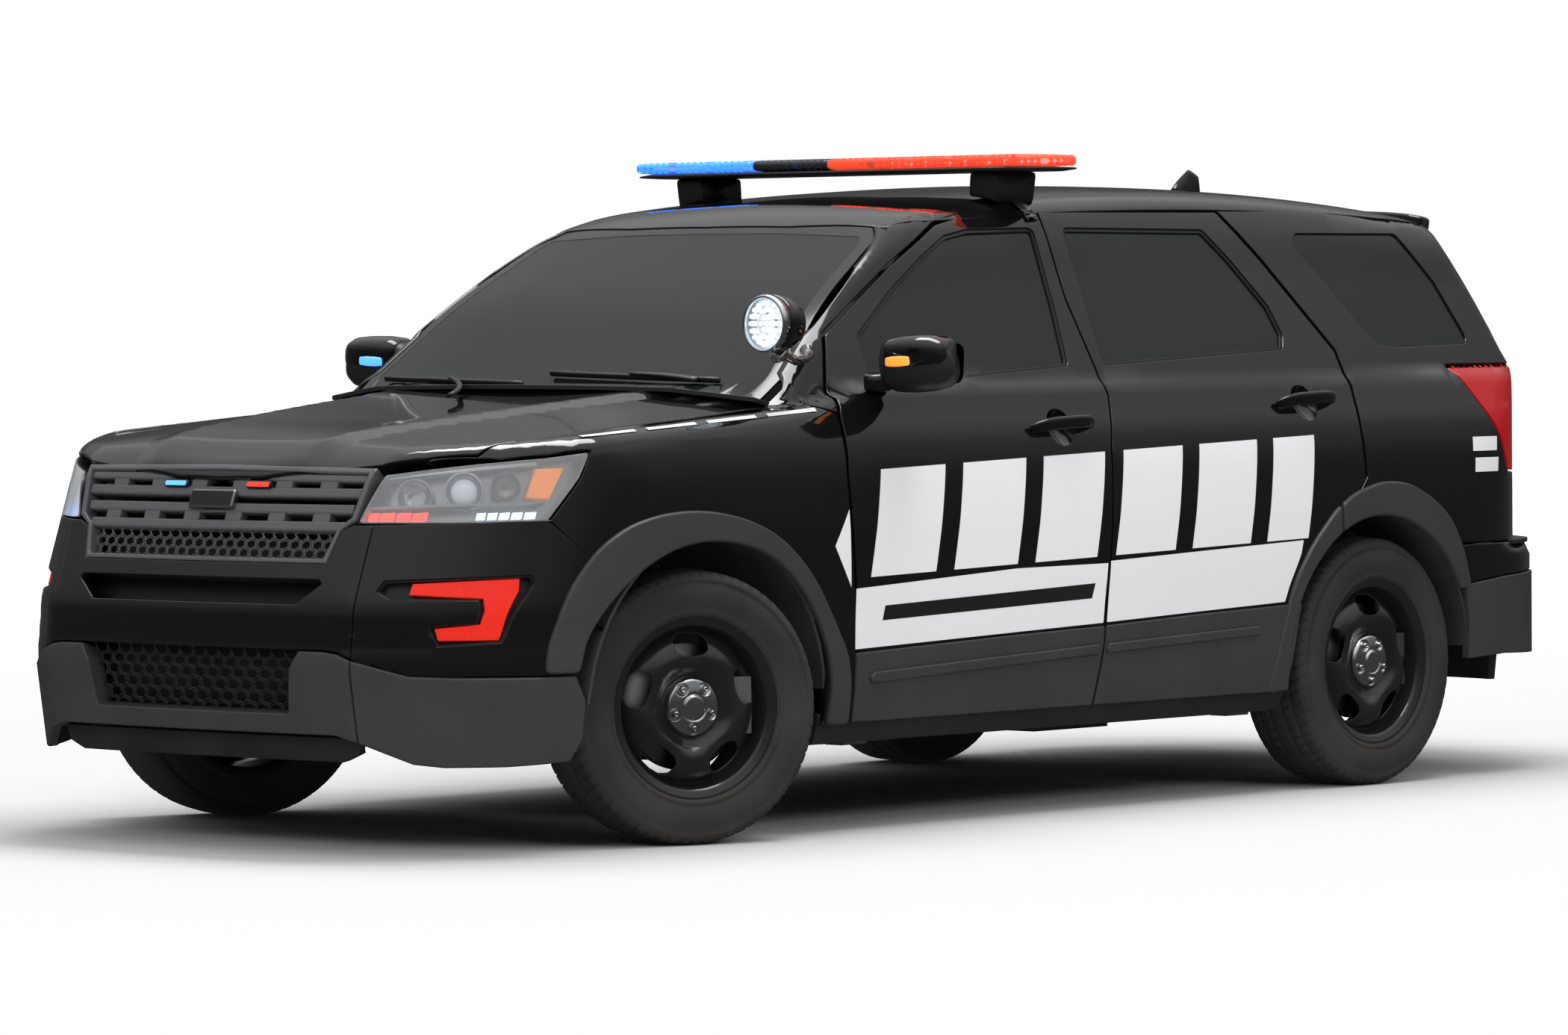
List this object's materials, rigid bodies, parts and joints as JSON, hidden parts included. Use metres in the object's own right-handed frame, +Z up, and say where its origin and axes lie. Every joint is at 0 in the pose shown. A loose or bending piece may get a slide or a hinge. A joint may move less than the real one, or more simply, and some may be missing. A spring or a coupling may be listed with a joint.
{
  "type": "police patrol car",
  "caption": "Five-door black police utility car with roof light bar, spotlight, steered front wheels, opening doors, hood and liftgate.",
  "frame": {"origin": "on the floor below the middle of the car's bounding box", "axes": "+Z up, nose towards -Y, driver's (left) side towards +X"},
  "size_m": [2.292, 5.0298, 1.8379],
  "materials": {
    "body_paint": "gloss black paint",
    "satin_trim": "satin dark grey moulded plastic",
    "lamp_lens": "clear lens",
    "red_lens": "red lens",
    "tinted_glass": "dark tinted glass",
    "underbody": "satin black undercoat",
    "steel_pipe": "dull steel",
    "cast_metal": "raw cast metal",
    "seat_cloth": "dark woven cloth",
    "cabin_plastic": "grained dark plastic",
    "light_bar_lens": "dark lens with blue and red ends",
    "spotlight_shell": "polished metal",
    "tyre_rubber": "black rubber",
    "black_steel": "gloss black steel"
  },
  "bodies": {
    "root": {"body_side_left": "body_paint", "body_side_right": "body_paint", "cowl": "satin_trim", "dashboard": "cabin_plastic", "engine_block": "cast_metal", "exhaust": "steel_pipe", "fender_left": "body_paint", "fender_right": "body_paint", "floor_pan": "underbody", "fog_lamps": "lamp_lens", "front_bumper": "body_paint", "front_skid_plate": "satin_trim", "front_struts": "underbody", "front_subframe": "underbody", "grille": "satin_trim", "headlamps": "lamp_lens", "light_bar": "light_bar_lens", "quarter_glass": "tinted_glass", "rear_axle": "underbody", "rear_bumper": "body_paint", "roof_antenna": "satin_trim", "roof_panel": "body_paint", "seats": "seat_cloth", "spotlight": "spotlight_shell", "tail_lamps": "red_lens", "wheel_houses": "underbody", "windscreen": "tinted_glass"},
    "hood": {"hood": "body_paint"},
    "liftgate": {"liftgate": "body_paint", "liftgate_glass": "tinted_glass"},
    "front_door_left": {"front_door_left": "body_paint", "front_door_glass_left": "tinted_glass", "door_mirror_left": "body_paint"},
    "rear_door_left": {"rear_door_left": "body_paint", "rear_door_glass_left": "tinted_glass"},
    "front_hub_left": {"front_hub_left": "cast_metal"},
    "front_wheel_left": {"front_rim_left": "black_steel", "front_tyre_left": "tyre_rubber"},
    "rear_wheel_left": {"rear_rim_left": "black_steel", "rear_tyre_left": "tyre_rubber"},
    "front_door_right": {"front_door_right": "body_paint", "front_door_glass_right": "tinted_glass", "door_mirror_right": "body_paint"},
    "rear_door_right": {"rear_door_right": "body_paint", "rear_door_glass_right": "tinted_glass"},
    "front_hub_right": {"front_hub_right": "cast_metal"},
    "front_wheel_right": {"front_rim_right": "black_steel", "front_tyre_right": "tyre_rubber"},
    "rear_wheel_right": {"rear_rim_right": "black_steel", "rear_tyre_right": "tyre_rubber"}
  },
  "joints": [
    {"name": "hood_hinge", "type": "hinge", "parent": "root", "child": "hood", "pos_m": [0, -1.11, 1.2], "axis": [-1, 0, 0], "range_deg": [0, 50]},
    {"name": "liftgate_hinge", "type": "hinge", "parent": "root", "child": "liftgate", "pos_m": [0, 1.9616, 1.7], "axis": [1, 0, 0], "range_deg": [0, 85]},
    {"name": "front_door_hinge_left", "type": "hinge", "parent": "root", "child": "front_door_left", "pos_m": [0.989, -0.985, 0.8], "axis": [0, 0, -1], "range_deg": [0, 70]},
    {"name": "rear_door_hinge_left", "type": "hinge", "parent": "root", "child": "rear_door_left", "pos_m": [0.989, 0.033, 0.8], "axis": [0, 0, -1], "range_deg": [0, 70]},
    {"name": "steering_left", "type": "hinge", "parent": "root", "child": "front_hub_left", "pos_m": [0.851, -1.525, 0.363], "axis": [0, 0, 1], "range_deg": [-16, 54]},
    {"name": "front_wheel_spin_left", "type": "hinge", "parent": "front_hub_left", "child": "front_wheel_left", "pos_m": [0.851, -1.525, 0.363], "axis": [0.9455, -0.3256, 0], "continuous": true},
    {"name": "rear_wheel_spin_left", "type": "hinge", "parent": "root", "child": "rear_wheel_left", "pos_m": [0.851, 1.335, 0.363], "axis": [1, 0, 0], "continuous": true},
    {"name": "front_door_hinge_right", "type": "hinge", "parent": "root", "child": "front_door_right", "pos_m": [-0.989, -0.985, 0.8], "axis": [0, 0, 1], "range_deg": [0, 70]},
    {"name": "rear_door_hinge_right", "type": "hinge", "parent": "root", "child": "rear_door_right", "pos_m": [-0.989, 0.033, 0.8], "axis": [0, 0, 1], "range_deg": [0, 70]},
    {"name": "steering_right", "type": "hinge", "parent": "root", "child": "front_hub_right", "pos_m": [-0.851, -1.525, 0.363], "axis": [0, 0, 1], "range_deg": [-16, 54]},
    {"name": "front_wheel_spin_right", "type": "hinge", "parent": "front_hub_right", "child": "front_wheel_right", "pos_m": [-0.851, -1.525, 0.363], "axis": [0.9455, -0.3256, 0], "continuous": true},
    {"name": "rear_wheel_spin_right", "type": "hinge", "parent": "root", "child": "rear_wheel_right", "pos_m": [-0.851, 1.335, 0.363], "axis": [1, 0, 0], "continuous": true}
  ],
  "couplings": [
    {"joint": "steering_right", "follows": "steering_left", "ratio": 1}
  ]
}
